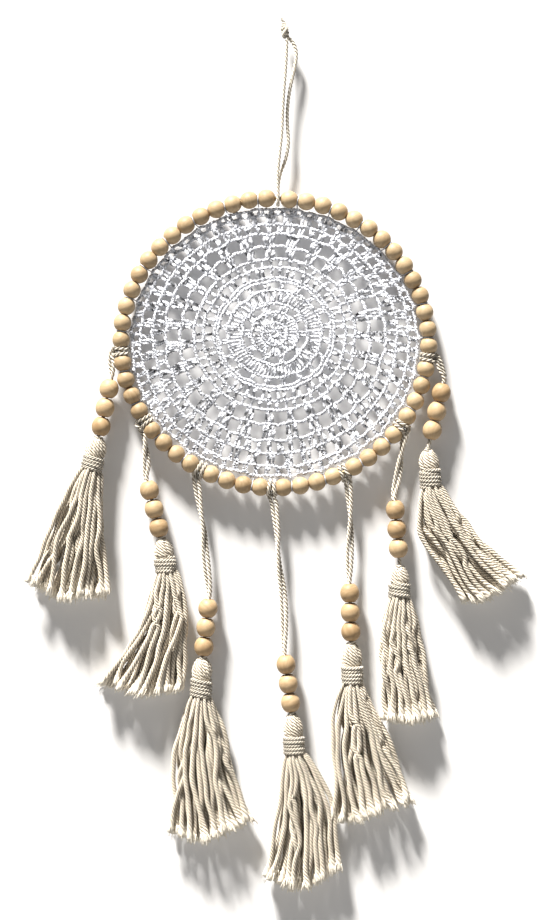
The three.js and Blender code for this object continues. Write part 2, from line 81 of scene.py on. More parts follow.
# Hanging loop
# A thin plied cotton cord, about 23 cm long, that goes down, under the hoop's wire and up
# again. It lies slack, with one leg bowed to the side.
def between(t, start, end, a, b):
    """The point that is at a when t is start, and at b when it is end."""
    return a * (end - t) / (end - start) + b * (t - start) / (end - start)


def curve_through(points, step):
    """Points at an even step on a smooth curve through a few points."""
    points = np.array(points, float)
    points = np.vstack([2 * points[0] - points[1], points, 2 * points[-1] - points[-2]])
    line = []
    for a, b, c, d in zip(points, points[1:], points[2:], points[3:]):
        t1 = np.linalg.norm(b - a) ** 0.5
        t2 = t1 + np.linalg.norm(c - b) ** 0.5
        t3 = t2 + np.linalg.norm(d - c) ** 0.5
        t = np.linspace(t1, t2, 24, endpoint=False)[:, None]
        bc = between(t, t1, t2, b, c)
        abc = between(t, 0, t2, between(t, 0, t1, a, b), bc)
        bcd = between(t, t1, t3, bc, between(t, t2, t3, c, d))
        line.append(between(t, t1, t2, abc, bcd))
    line = np.vstack([*line, points[-2:-1]])
    return evenly(line, step)


def length_of(line):
    """The length of a line of points."""
    return float(np.linalg.norm(np.diff(line, axis=0), axis=1).sum())


def evenly(line, step):
    """The same line with its points an even step apart."""
    along = np.r_[0, np.cumsum(np.linalg.norm(np.diff(line, axis=0), axis=1))]
    count = max(2, round(along[-1] / step))
    at = np.linspace(0, along[-1], count + 1)
    return np.column_stack([np.interp(at, along, line[:, axis]) for axis in range(3)])


def unit(vectors):
    """The same directions, each with a length of one."""
    return vectors / np.maximum(np.linalg.norm(vectors, axis=-1, keepdims=True), 1e-12)


def frames_along(line):
    """Directions ahead, aside and up at each point of a line, which turn as little as they can."""
    ahead = unit(np.gradient(line, axis=0))
    aside = np.empty_like(line)
    side = np.cross(ahead[0], (0.3, 0.9, 0.2))
    for i, forward in enumerate(ahead):
        side = side - forward * side.dot(forward)
        side = side / np.linalg.norm(side)
        aside[i] = side
    return ahead, aside, np.cross(ahead, aside)


class Gathering:
    """Gathers small shapes into one mesh. Each point keeps some values for its material."""

    def __init__(self, seed):
        self.random = random.Random(seed)
        self.points, self.faces, self.values = [], [], {}

    def join_rings(self, rings, sides, closed):
        """The faces between the rings of the next shape, and the number of its first point."""
        first = sum(len(places) for places in self.points)
        side = np.arange(sides)
        ring = np.arange(rings if closed else rings - 1)[:, None]
        near = first + ring * sides
        far = first + (ring + 1) % rings * sides
        quads = [near + side, near + (side + 1) % sides, far + (side + 1) % sides, far + side]
        self.faces += np.stack(quads, axis=-1).reshape(-1, 4).tolist()
        return first

    def add(self, places, **values):
        """The points of the next shape, with the values that each of them keeps."""
        self.points.append(places.reshape(-1, 3))
        for kind, rows in values.items():
            self.values.setdefault(kind, []).append(rows)

    def piece(self, name, material, slot):
        """All the shapes as one mesh object that rides on the body."""
        mesh = bpy.data.meshes.new(name)
        mesh.from_pydata(np.vstack(self.points).tolist(), [], self.faces)
        mesh.polygons.foreach_set("use_smooth", [len(face) < 5 for face in self.faces])
        for kind, rows in self.values.items():
            rows = np.concatenate(rows).astype(np.float32)
            form, key = ("FLOAT", "value") if rows.ndim == 1 else ("FLOAT_VECTOR", "vector")
            layer = mesh.attributes.new(kind, form, "POINT")
            layer.data.foreach_set(key, rows.ravel())
        mesh.materials.append(material)
        piece = add_object(name, mesh)
        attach(piece, "root")
        return piece


class Skein(Gathering):
    """Gathers twisted yarns. Each point keeps where it lies in its yarn."""

    def yarn(self, line, radius, plies, per_ply, groove, turn, opened=0.0, start_turn=0.0):
        """A twisted yarn along a line. per_ply is how many sides each ply has, groove how deep
        the plies part, turn the length of one twist, and opened how far the plies have come
        undone. The radius and opened are each one value or one for each point."""
        count = len(line)
        sides = plies * per_ply
        ahead, aside, up = frames_along(line)
        radius = np.broadcast_to(radius, count)
        opened = np.broadcast_to(opened, count)
        steps = np.r_[0, np.linalg.norm(np.diff(line, axis=0), axis=1)]
        along = np.cumsum(steps)
        twist = np.cumsum(steps * (1 - 0.8 * opened)) * 2 * math.pi / turn + start_turn
        corner = np.arange(sides) * 2 * math.pi / sides
        ridge = 0.5 + 0.5 * np.cos(corner * plies + (math.pi / 3 if per_ply == 3 else 0))
        reach = 1 - groove * (1 - ridge)
        angle = corner + twist[:, None]
        out = radius[:, None] * reach
        places = (
            line[:, None] + (out * np.cos(angle))[..., None] * aside[:, None]
            + (out * np.sin(angle))[..., None] * up[:, None]
        )
        first = self.join_rings(count, sides, closed=False)
        ring = np.arange(sides)
        self.faces.append((first + ring[::-1]).tolist())
        self.faces.append((first + (count - 1) * sides + ring).tolist())
        offset = np.array([self.random.uniform(0, 0.5) for _ in range(3)])
        lay = np.stack(np.broadcast_arrays(
            radius[:, None] * np.cos(corner), radius[:, None] * np.sin(corner), along[:, None]
        ), axis=-1) + offset
        self.add(
            places, lay=lay.reshape(-1, 3), groove=np.tile(1 - ridge, count),
            tone=np.full(count * sides, self.random.random()), open=np.repeat(opened, sides),
        )


def set_inputs(tree, node, inputs):
    """A node's inputs, each set to a plain value or linked from another node's output."""
    for socket, value in inputs.items():
        if isinstance(value, bpy.types.NodeSocket):
            tree.links.new(value, node.inputs[socket])
        else:
            node.inputs[socket].default_value = value


def add_node(tree, kind, inputs=None, **settings):
    """A node with its settings and inputs. Nodes lie in rows of six, in the order made."""
    row, column = divmod(len(tree.nodes), 6)
    node = tree.nodes.new("ShaderNode" + kind)
    node.location = (300 * column, -400 * row)
    for name, value in settings.items():
        setattr(node, name, value)
    set_inputs(tree, node, inputs or {})
    return node


def kept_value(tree, kind, output="Fac"):
    """A value that the mesh keeps at its points."""
    return add_node(tree, "Attribute", attribute_name=kind).outputs[output]


def stretched(tree, vector, scale):
    """A place scaled by its own amount each way, for noise that runs one way."""
    inputs = {"Vector": vector, "Scale": scale}
    return add_node(tree, "Mapping", inputs).outputs["Vector"]


def noise(tree, vector, scale=1.0, detail=2.0, distortion=0.0):
    """Soft noise, from 0 to 1."""
    inputs = {"Vector": vector, "Scale": scale, "Detail": detail, "Distortion": distortion}
    return add_node(tree, "TexNoise", inputs).outputs["Fac"]


def ranged(tree, value, low, high, to_low, to_high):
    """A value's range from low to high, drawn out or in to another range."""
    inputs = {
        "Value": value, "From Min": low, "From Max": high, "To Min": to_low, "To Max": to_high,
    }
    return add_node(tree, "MapRange", inputs).outputs[0]


def reckon(tree, operation, first, second, **settings):
    """Two values worked into one."""
    inputs = {0: first, 1: second}
    node = add_node(tree, "Math", inputs, operation=operation, **settings)
    return node.outputs[0]


def blend(tree, share, first, second):
    """The first colour, with a share of the second in it."""
    inputs = {"Factor": share, "A": first, "B": second}
    return add_node(tree, "Mix", inputs, data_type="RGBA").outputs["Result"]


def new_group(name, inputs):
    """A shader node group with named inputs, which puts out a colour and a height."""
    tree = bpy.data.node_groups.new(name, "ShaderNodeTree")
    for label, value in inputs.items():
        kind = "NodeSocketFloat" if isinstance(value, float) else "NodeSocketColor"
        socket = tree.interface.new_socket(label, in_out="INPUT", socket_type=kind)
        socket.default_value = value
    tree.interface.new_socket("Color", in_out="OUTPUT", socket_type="NodeSocketColor")
    tree.interface.new_socket("Height", in_out="OUTPUT", socket_type="NodeSocketFloat")
    into, out = (tree.nodes.new(kind) for kind in ("NodeGroupInput", "NodeGroupOutput"))
    return tree, into.outputs, out


def spun_cotton_group():
    """Fine fibres that run along each ply, painted shade that darkens the grooves between the plies,
    and undyed cotton's uneven colour. Its height carries the grooves and fibres for the bump."""
    tree, into, out = new_group("spun_cotton", {
        "Cotton": (0.8, 0.75, 0.6, 1), "Groove Shade": (0.5, 0.42, 0.3, 1),
        "Open End": (0.9, 0.87, 0.8, 1), "Groove Strength": 0.6,
    })
    lay = kept_value(tree, "lay", "Vector")
    groove = kept_value(tree, "groove")
    opened = kept_value(tree, "open")
    tone = kept_value(tree, "tone")
    along_ply = stretched(tree, lay, (4200, 4200, 420))
    fibres = noise(tree, along_ply, detail=3.0)
    cloudy = noise(tree, lay, scale=90.0)

    # Painted shade: the grooves between the plies are tinted towards a darker colour, less where the
    # plies have come undone. The same depth also lowers the height for the bump.
    closed = reckon(tree, "SUBTRACT", 1.0, opened)
    depth = reckon(tree, "MULTIPLY", groove, closed)
    strength = reckon(tree, "MULTIPLY", depth, into["Groove Strength"])
    ends = blend(tree, opened, into["Cotton"], into["Open End"])
    plies = blend(tree, strength, ends, into["Groove Shade"])

    light = ranged(tree, fibres, 0.3, 0.7, 0.84, 1.08)
    clouds = ranged(tree, cloudy, 0.3, 0.7, 0.92, 1.05)
    strands = ranged(tree, tone, 0.0, 1.0, 0.9, 1.06)
    both = reckon(tree, "MULTIPLY", light, clouds)
    all_three = reckon(tree, "MULTIPLY", both, strands)
    shaded = add_node(
        tree, "VectorMath", {0: plies, "Scale": all_three},
        operation="SCALE",
    )
    fuzz = reckon(tree, "MULTIPLY", fibres, 0.35)
    height = reckon(tree, "SUBTRACT", fuzz, depth)
    set_inputs(tree, out, {"Color": shaded.outputs["Vector"], "Height": height})
    return tree


spun_cotton = spun_cotton_group()


def new_material(name, finish):
    """A material with its node tree and its shader, and the finish as values on the shader."""
    material = bpy.data.materials.new(name)
    material.use_nodes = True
    tree = material.node_tree
    shader = tree.nodes["Principled BSDF"]
    set_inputs(tree, shader, finish)
    return material, tree, shader


def grouped_material(name, group, looks, bump_strength, bump_depth, finish):
    """A material whose colour and bump come from a shader group, with looks of its own."""
    material, tree, shader = new_material(name, finish)
    effect = add_node(tree, "Group", looks, node_tree=group)
    bump = add_node(tree, "Bump", {
        "Strength": bump_strength, "Distance": bump_depth, "Height": effect.outputs["Height"],
    })
    set_inputs(
        tree, shader, {"Base Color": effect.outputs["Color"], "Normal": bump.outputs["Normal"]}
    )
    return material


def cotton_material(name, cotton, groove, open_end, groove_shade_strength, groove_depth, sheen):
    """A soft, matt cotton: its fibres' bump, painted shade in the grooves between its plies, and a
    little sheen from loose fuzz.
    """
    looks = {
        "Cotton": (*cotton, 1), "Groove Shade": (*groove, 1), "Open End": (*open_end, 1),
        "Groove Strength": groove_shade_strength,
    }
    finish = {
        "Roughness": 0.88, "Specular IOR Level": 0.2, "Sheen Weight": sheen,
        "Sheen Roughness": 0.45,
    }
    return grouped_material(name, spun_cotton, looks, 1.0, groove_depth, finish)


# groove is a painted shade colour for the grooves between the cord's plies.
loop_cotton = cotton_material(
    "loop_cotton", cotton=(0.92, 0.87, 0.76), groove=(0.30, 0.23, 0.15),
    open_end=(0.9, 0.86, 0.78), groove_shade_strength=0.55, groove_depth=0.0004, sheen=0.25,
)
loop_radius = 0.00125
loop_step = 0.0005
loop_route = [
    (0.0019, -0.0014, -0.0008), (0.0016, -0.0015, -0.0070), (0.0013, -0.0016, -0.0145),
    (0.0006, -0.0017, -0.0250), (-0.0003, -0.0017, -0.0365), (-0.0010, -0.0017, -0.0490),
    (-0.0016, -0.0018, -0.0625), (-0.0031, -0.0020, -0.0770), (-0.0042, -0.0025, -0.0900),
    (-0.0041, -0.0033, -0.0990), (-0.0040, -0.0039, -0.1047), (-0.0040, -0.0029, -0.1081),
    (-0.0040, 0.0000, -0.1093), (-0.0040, 0.0029, -0.1081), (-0.0040, 0.0039, -0.1047),
    (-0.0040, 0.0031, -0.0980), (-0.0026, 0.0022, -0.0890), (0.0011, 0.0017, -0.0790),
    (0.0029, 0.0016, -0.0680), (0.0023, 0.0016, -0.0580), (0.0022, 0.0016, -0.0480),
    (0.0033, 0.0016, -0.0370), (0.0052, 0.0015, -0.0270), (0.0074, 0.0015, -0.0170),
    (0.0080, 0.0015, -0.0095), (0.0064, 0.0014, -0.0038), (0.0038, 0.0013, -0.0006),
    (0.0018, 0.0010, 0.0014),
]
loop_line = curve_through(loop_route, loop_step)
loop_skein = Skein("hanging loop")
loop_skein.yarn(loop_line, loop_radius, plies=3, per_ply=4, groove=0.4, turn=-0.0080)
hanging_loop = loop_skein.piece("hanging_loop_cord", loop_cotton, "loop_cotton")
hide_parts("hanging_loop")


# Loop knot
# Both ends of the loop's cord are tied together in one tight overhand knot and cut short
# above it, where their plies have come undone.
knot_radius = 0.00145
knot_cord_radius = 0.00115
knot_lay = {"plies": 3, "per_ply": 4, "turn": -0.0055}
knot_turns = 2.9
knot_pitch = 0.0021
knot_height = 0.0078
knot_tilt = math.radians(14)
knot_foot = np.array((0.0018, 0.0, 0.0))
cut_end_radius = 0.0010
cut_end_taper = 0.00035


def knot_line(points):
    """Points turned with the knot in the plane of the hoop, and moved to its foot."""
    x, y, z = np.array(points, float).T
    cos, sin = math.cos(knot_tilt), math.sin(knot_tilt)
    return np.column_stack([x * cos - z * sin, y, x * sin + z * cos]) + knot_foot


def tight_coil(turns, radius, pitch, start=0.0, step=loop_step):
    """A cord's turns round an upright axis, from the origin up."""
    angle = np.linspace(0, 2 * math.pi * turns, max(8, round(turns * 40)))
    coil = np.column_stack(
        [radius * np.cos(angle + start), radius * np.sin(angle + start),
         pitch * angle / (2 * math.pi)]
    )
    return evenly(coil, step)


loop_knot_skein = Skein("loop knot")
coil_line = tight_coil(knot_turns, knot_radius, knot_pitch, start=0.6) + (0, 0, 0.0011)
loop_knot_skein.yarn(knot_line(coil_line), knot_cord_radius, groove=0.3, **knot_lay)
crossing = [
    (-0.0012, -0.0008, 0.0002), (-0.0018, -0.0024, 0.0022), (0.0000, -0.0029, 0.0042),
    (0.0016, -0.0022, 0.0062), (0.0010, -0.0004, 0.0080),
]
loop_knot_skein.yarn(
    knot_line(curve_through(crossing, loop_step)), knot_cord_radius * 0.95, groove=0.3, **knot_lay
)

# Each cut end: where its foot is, how far it leans to the side and how high it stands.
cut_ends = [(-0.0009, 0.16, 0.0068), (0.0008, -0.12, 0.0062), (0.0001, 0.03, 0.0050)]
for foot_x, lean, height in cut_ends:
    rise = np.linspace(0, 1, 14)
    end_line = np.column_stack(
        [foot_x + lean * height * rise + 0.0003 * np.sin(rise * 5), 0.0004 * np.sin(rise * 4),
         knot_height + height * rise]
    )
    loop_knot_skein.yarn(
        knot_line(end_line), cut_end_radius - cut_end_taper * rise, groove=0.35,
        opened=rise ** 2, **knot_lay,
    )
loop_knot = loop_knot_skein.piece("loop_knot_tied", loop_cotton, "loop_cotton")
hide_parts("loop_knot")


# Hanging cords
# Each is one soft cotton cord, folded in two and hitched over the hoop's wire between two
# beads. Its two legs twist round each other, go through three beads and carry a tassel.
hoop_middle = np.array((-0.0060, 0.0, -0.1995))
hoop_half_width = 0.1005
hoop_half_height = 0.0945
ring_bead_length = 0.0112
ring_bead_groups = [14, 4, 4, 4, 4, 4, 4, 14]
loop_gap_offset = 0.002

turns_round = np.linspace(0, 2 * math.pi, 7201)
hoop_line = np.column_stack(
    [hoop_middle[0] + hoop_half_width * np.sin(turns_round), np.zeros_like(turns_round),
     hoop_middle[2] + hoop_half_height * np.cos(turns_round)]
)
hoop_along = np.r_[0, np.cumsum(np.linalg.norm(np.diff(hoop_line, axis=0), axis=1))]
hoop_length = hoop_along[-1]
gap_length = (hoop_length - sum(ring_bead_groups) * ring_bead_length) / len(ring_bead_groups)


def hoop_place(distance):
    """A point of the hoop, clockwise from its top, with the ways along the wire and out of it."""
    distance = distance % hoop_length
    point = np.array([np.interp(distance, hoop_along, hoop_line[:, a]) for a in range(3)])
    angle = np.interp(distance, hoop_along, turns_round)
    along = unit(np.array(
        (hoop_half_width * math.cos(angle), 0.0, -hoop_half_height * math.sin(angle))
    ))
    return point, along, np.array((-along[2], 0.0, along[0]))


group_starts, gap_places = [], []
reached = loop_gap_offset + gap_length / 2
for count in ring_bead_groups:
    group_starts.append(reached)
    reached += count * ring_bead_length
    gap_places.append(reached + gap_length / 2)
    reached += gap_length

# One row for each hanging cord, from the left of the hoop round to its right. gap is the gap
# between bead groups that it hangs from, turn how far its legs twist in degrees, and lean, dome
# and turns are the tassel's lean in degrees, its head's height and its binding's turns. drop is
# cord that shows under the beads, and sway how far its skirt's left and right sides curve.
# Places are x and z: route is the way down to the beads, beads the first two beads' middles,
# and tips the left, lowest and right ends of the skirt.
hangers = [
    dict(
        name="far_left", gap=6, turn=90, lean=-13, dome=0.012, turns=4,
        route=[(-0.1126, -0.2090), (-0.1126, -0.2140)],
        beads=[(-0.1144, -0.2294), (-0.1196, -0.2541)],
        tips=[(-0.166, -0.359), (-0.146, -0.3715), (-0.117, -0.366)],
    ),
    dict(
        name="left", gap=5, turn=100, lean=8, dome=0.012, turns=4,
        route=[(-0.0932, -0.2545), (-0.0914, -0.2600), (-0.0903, -0.2700), (-0.0899, -0.2790)],
        beads=[(-0.0880, -0.2958), (-0.0818, -0.3202)],
        tips=[(-0.121, -0.424), (-0.092, -0.4335), (-0.069, -0.4295)],
    ),
    dict(
        name="near_left", gap=4, turn=280, lean=-3, dome=0.013, turns=5,
        route=[
            (-0.0574, -0.2885), (-0.0560, -0.2980), (-0.0545, -0.3090), (-0.0524, -0.3220),
            (-0.0517, -0.3350), (-0.0503, -0.3480),
        ],
        beads=[(-0.0497, -0.3730), (-0.0524, -0.3982)],
        tips=[(-0.072, -0.523), (-0.054, -0.530), (-0.022, -0.515)],
    ),
    dict(
        name="middle", gap=3, turn=430, lean=4, dome=0.014, turns=5, sway=(0.0045, 0.0060),
        route=[
            (-0.0069, -0.3000), (-0.0059, -0.3090), (-0.0044, -0.3220), (-0.0039, -0.3350),
            (-0.0029, -0.3480), (-0.0009, -0.3610), (0, -0.3740), (0.0002, -0.3870),
        ],
        beads=[(0.0013, -0.4097), (0.0043, -0.4348)],
        tips=[(-0.012, -0.5505), (0.0085, -0.561), (0.033, -0.547)],
    ),
    dict(
        name="near_right", gap=2, turn=400, lean=2, dome=0.0145, turns=5,
        route=[
            (0.0418, -0.2905), (0.0427, -0.2990), (0.0434, -0.3110), (0.0435, -0.3230),
            (0.0430, -0.3360), (0.0428, -0.3480),
        ],
        beads=[(0.0430, -0.3630), (0.0437, -0.3882)],
        tips=[(0.035, -0.513), (0.045, -0.517), (0.085, -0.501)],
    ),
    dict(
        name="right", gap=1, turn=100, lean=-1, dome=0.0105, turns=4, drop=0.0045,
        route=[(0.0802, -0.2560), (0.0785, -0.2620), (0.0766, -0.2730), (0.0745, -0.2870)],
        beads=[(0.0728, -0.3086), (0.0748, -0.3338)],
        tips=[(0.068, -0.4485), (0.084, -0.451), (0.0955, -0.447)],
    ),
    dict(
        name="far_right", gap=0, turn=80, lean=5, dome=0.012, turns=5, drop=0.0060,
        route=[(0.1014, -0.2110), (0.1024, -0.2150)],
        beads=[(0.1028, -0.2320), (0.0970, -0.2564)],
        tips=[(0.123, -0.370), (0.130, -0.372), (0.156, -0.354)],
    ),
]
hanger_bead_length = 0.0121
hanger_bead_pitch = 0.0126
head_seat = 0.0008
cord_radius = 0.00145
hitch_radius = 0.00134
bore_cord_radius = 0.00118
cord_lay = {"plies": 3, "per_ply": 4, "groove": 0.42, "turn": -0.0084}
cord_step = 0.0009
hitch_ends_out = 0.0064
legs_apart_in_bore = 0.00105
front = np.array((0.0, -1.0, 0.0))

# How far along each leg, from the bight, the tight cord of the hitch grows to full thickness,
# and how far from the cord's end it thins again to go into the beads.
hitch_loosens = (0.026, 0.032)
bore_begins = (0.036, 0.044)

# One leg's way round the wire, from the middle of the bight that lies across the back: how
# far along the wire, out of the hoop and to the front, in metres.
hitch = [
    (0.0000, 0.0053, -0.0046), (0.0024, 0.0051, -0.0029), (0.0024, 0.0044, 0.0014),
    (0.0017, 0.0010, 0.0037), (0.0015, -0.0028, 0.0031), (0.0014, -0.0049, 0.0002),
    (0.0014, -0.0030, -0.0027), (0.0014, 0.0006, -0.0034), (0.0013, 0.0036, -0.0018),
    (0.0015, 0.0064, 0.0002),
]


def bead_middles(hanger):
    """The middles of a hanger's three beads, and the way down through them."""
    first, last = (np.array((x, 0.0, z)) for x, z in hanger["beads"])
    down = unit(last - first)
    return [first + down * hanger_bead_pitch * bead for bead in range(3)], down


def head_top(hanger):
    """The top of a hanger's tassel head, under its last bead."""
    middles, down = bead_middles(hanger)
    return middles[-1] + down * (hanger_bead_length / 2 + head_seat + hanger.get("drop", 0.0))


def leg_line(hanger, sign):
    """One leg of a doubled cord, from the bight on the wire to the tassel's head."""
    point, along, outward = hoop_place(gap_places[hanger["gap"]])
    over_wire = [point + sign * t * along + n * outward + f * front for t, n, f in hitch]
    middles, down = bead_middles(hanger)
    into = middles[0] - down * hanger_bead_length / 2
    route = [(x, 0.0, z) for x, z in hanger["route"]]
    middle_line = curve_through(
        [point + hitch_ends_out * outward, *route, into - 0.0035 * down, into], 0.002
    )
    ahead = unit(np.gradient(middle_line, axis=0))
    side = unit(np.cross(ahead, (0.0, 1.0, 0.0)))
    back = np.cross(ahead, side)
    share = np.linspace(0, 1, len(middle_line))
    first_turn = math.degrees(math.atan2(along @ back[0], along @ side[0]))
    last_turn = first_turn + round((hanger["turn"] - first_turn) / 180) * 180 + 80
    turn = np.radians(first_turn + (last_turn - first_turn) * share)
    to_bead = np.clip((1 - share) * length_of(middle_line) / 0.009, 0, 1)
    near_wire = np.clip(1 - share * length_of(middle_line) / 0.016, 0, 1)
    spread = cord_radius * (0.72 + 0.27 * to_bead + 0.22 * near_wire)
    offset = np.cos(turn)[:, None] * side + np.sin(turn)[:, None] * back
    leg = middle_line + sign * spread[:, None] * offset
    aside = sign * legs_apart_in_bore * offset[-1]
    through = [into + down * reach + aside for reach in np.arange(0.002, 0.0375, 0.003)]
    end = head_top(hanger) - 0.0004 * down + aside
    return curve_through([*over_wire, *leg[3:], *through, end], cord_step)


# groove is a painted shade colour for the grooves between the cord's plies.
cord_cotton = cotton_material(
    "cord_cotton", cotton=(0.95, 0.90, 0.79), groove=(0.27, 0.20, 0.13),
    open_end=(0.9, 0.85, 0.74), groove_shade_strength=0.9, groove_depth=0.0008, sheen=0.3,
)
for hanger in hangers:
    legs = [leg_line(hanger, sign) for sign in (1, -1)]
    line = np.vstack([legs[0][::-1], legs[1][1:]])
    for _ in range(3):
        line[1:-1] = 0.25 * line[:-2] + 0.5 * line[1:-1] + 0.25 * line[2:]
    number = np.arange(len(line))
    from_bight = np.abs(number - (len(legs[0]) - 1)) * cord_step
    to_end = np.minimum(number, len(line) - 1 - number) * cord_step
    by_hitch = np.interp(from_bight, hitch_loosens, (hitch_radius, cord_radius))
    by_bead = np.interp(to_end, bore_begins, (bore_cord_radius, cord_radius))
    skein = Skein("hanger " + hanger["name"])
    skein.yarn(line, np.minimum(by_hitch, by_bead), **cord_lay)
    cord = skein.piece("cord_" + hanger["name"], cord_cotton, "cord_cotton")
    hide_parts("hanger_" + hanger["name"])


# Hoop wire
# One ring of 3 mm steel wire with a dull, warm plating, bent round and closed on itself.
wire_radius = 0.0015
wire_pieces = 300
untwisted = 1e6


def wire_material():
    """Warm metal plating, a little darker in patches."""
    material, tree, shader = new_material("hoop_wire", {"Metallic": 1.0, "Roughness": 0.38})
    place = add_node(tree, "NewGeometry").outputs["Position"]
    patches = noise(tree, place, scale=260.0)
    tint = blend(tree, patches, (0.50, 0.40, 0.22, 1), (0.36, 0.29, 0.18, 1))
    set_inputs(tree, shader, {"Base Color": tint})
    return material


wire_skein = Skein("hoop wire")
wire_line = evenly(hoop_line, hoop_length / wire_pieces)
wire_skein.yarn(wire_line, wire_radius, plies=4, per_ply=3, groove=0.0, turn=untwisted)
hoop_wire = wire_skein.piece("hoop_wire_ring", wire_material(), "hoop_wire")
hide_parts("hoop_wire")


# Ring beads
# 52 round beads of light wood, turned and left unvarnished, sit packed on the wire in eight
# groups. No two are quite the same shape or colour.
ring_bead_radius = 0.0058
ring_bead_bore = 0.0017


class BeadString(Gathering):
    """Gathers turned beads. Each point keeps its place in the bead's own wood."""

    def bead(self, middle, axis, radius, length, bore, sides=26, steps=15):
        """One bead round an axis, with a bore through it whose edges are broken."""
        rnd = self.random
        radius = radius * rnd.uniform(0.985, 1.01)
        cut = math.asin(min(1.0, (bore * 1.18) / radius))
        arc = np.linspace(cut, math.pi - cut, steps)
        full = radius * np.sin(arc) ** rnd.uniform(0.95, 1.03)
        reach = -length / 2 * np.cos(arc) / math.cos(cut)
        full = np.r_[bore, full, bore, bore]
        reach = np.r_[-length / 2 + bore * 0.16, reach, length / 2 - bore * 0.16, 0.0]
        turn = np.arange(sides) * 2 * math.pi / sides
        oval = 1 + rnd.uniform(-0.015, 0.015) * np.cos(2 * turn + rnd.uniform(0, 6))
        axis = unit(np.array(axis, float))
        aside = unit(np.cross(axis, (0.31, 0.94, 0.11)))
        up = np.cross(axis, aside)
        ring = full[:, None] * oval[None, :]
        local = np.stack(
            [ring * np.cos(turn), ring * np.sin(turn), np.repeat(reach[:, None], sides, 1)], -1
        )
        places = middle + local[..., :1] * aside + local[..., 1:2] * up + local[..., 2:] * axis
        tilt = unit(np.array([rnd.gauss(0, 1) for _ in range(3)]))
        other = unit(np.cross(tilt, (0.2, 0.5, 0.8)))
        grain = np.stack([local @ other, local @ np.cross(tilt, other), local @ tilt], -1)
        grain = grain + np.array([rnd.uniform(0, 0.8) for _ in range(3)])
        self.join_rings(len(full), sides, closed=True)
        rim = np.clip(1 - (full - bore) / (radius * 0.45), 0, 1)
        self.add(
            places, grain=grain.reshape(-1, 3), tone=np.full(len(full) * sides, rnd.random()),
            rim=np.repeat(rim, sides),
        )


def turned_wood_group():
    """Turned light wood: growth rings and fine dark pores that run with the grain, and a tone of its
    own for each bead. Each bead turns darker towards its bore at both ends. Its height carries the
    pores for the bump."""
    tree, into, out = new_group("turned_wood", {
        "Light Wood": (0.82, 0.62, 0.36, 1), "Dark Wood": (0.55, 0.33, 0.14, 1),
        "Rim": (0.35, 0.2, 0.09, 1),
    })
    grain = kept_value(tree, "grain", "Vector")
    tone = kept_value(tree, "tone")
    rim = kept_value(tree, "rim")
    long_way = stretched(tree, grain, (300, 520, 26))
    streaks = noise(tree, long_way, detail=4.0, distortion=0.4)
    fine_way = stretched(tree, grain, (2600, 2600, 190))
    pores = noise(tree, fine_way)
    shade = ranged(tree, streaks, 0.35, 0.68, 0.0, 1.0)
    pore_mask = ranged(tree, pores, 0.56, 0.72, 0.0, 0.55)
    own = ranged(tree, tone, 0.0, 1.0, 0.05, 0.6)
    mixed = reckon(tree, "MULTIPLY", shade, 0.45)
    added = reckon(tree, "ADD", mixed, own, use_clamp=True)
    pored = reckon(tree, "MAXIMUM", added, pore_mask)
    wood = blend(tree, pored, into["Light Wood"], into["Dark Wood"])
    rim_part = reckon(tree, "POWER", rim, 2.5)
    rimmed = blend(tree, rim_part, wood, into["Rim"])
    set_inputs(tree, out, {"Color": rimmed, "Height": pores})
    return tree


turned_wood = turned_wood_group()


def wood_material(name, light, dark):
    """Unvarnished wood, a little smooth from turning."""
    looks = {"Light Wood": (*light, 1), "Dark Wood": (*dark, 1)}
    finish = {"Roughness": 0.52, "Specular IOR Level": 0.4}
    return grouped_material(name, turned_wood, looks, 0.5, 0.0001, finish)


ring_wood = wood_material("ring_wood", light=(0.55, 0.42, 0.26), dark=(0.31, 0.21, 0.11))
for group, (start, count) in enumerate(zip(group_starts, ring_bead_groups), start=1):
    beads = BeadString(f"ring beads {group}")
    for bead in range(count):
        point, along, outward = hoop_place(start + (bead + 0.5) * ring_bead_length)
        shift = outward * beads.random.uniform(-0.0002, 0.0002)
        beads.bead(point + shift, along, ring_bead_radius, ring_bead_length, ring_bead_bore)
    string = beads.piece(f"ring_bead_string_{group}", ring_wood, "wood_beads")
    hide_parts(f"ring_beads_{group}")


# Hanging beads
# Three slightly larger beads of the same wood on each hanging cord, the cord's two legs
# through their bores.
hanger_bead_radius = 0.0063
hanger_bead_bore = 0.00245
hanger_wood = wood_material("hanger_wood", light=(0.57, 0.42, 0.25), dark=(0.34, 0.22, 0.11))
for hanger in hangers:
    middles, down = bead_middles(hanger)
    for number, middle in enumerate(middles, start=1):
        beads = BeadString(f"bead {hanger['name']} {number}")
        beads.bead(middle, down, hanger_bead_radius, hanger_bead_length, hanger_bead_bore)
        bead = beads.piece(
            f"hanger_bead_{hanger['name']}_{number}", hanger_wood, "wood_beads"
        )
        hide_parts(f"bead_{hanger['name']}_{number}")


# Doily
# One round piece of white crochet cotton, worked from the middle out in rounds of trebles and
# chains, and stretched in the hoop so that its middle sits a little above the hoop's.
lace_radius = 0.094
lace_inset = 0.00615
lace_half_width = hoop_half_width - lace_inset
lace_half_height = hoop_half_height - lace_inset
lace_middle_rise = 0.0059
chain_radius = 0.00079
treble_radius = 0.00076
wide_treble_radius = 0.00115
thread_lay = {"plies": 4, "per_ply": 1, "groove": 0.0, "turn": 0.0030}
stitch_length = 0.0047
post_step = 0.00125
post_twist = 0.0062
unevenness = 0.00022
pressed_flat = 0.45
lace_random = random.Random("doily")
lace_waves = [
    (count, lace_random.uniform(0, 2 * math.pi), lace_random.uniform(0.5, 1.0))
    for count in (2, 3, 5, 7, 11, 13)
]

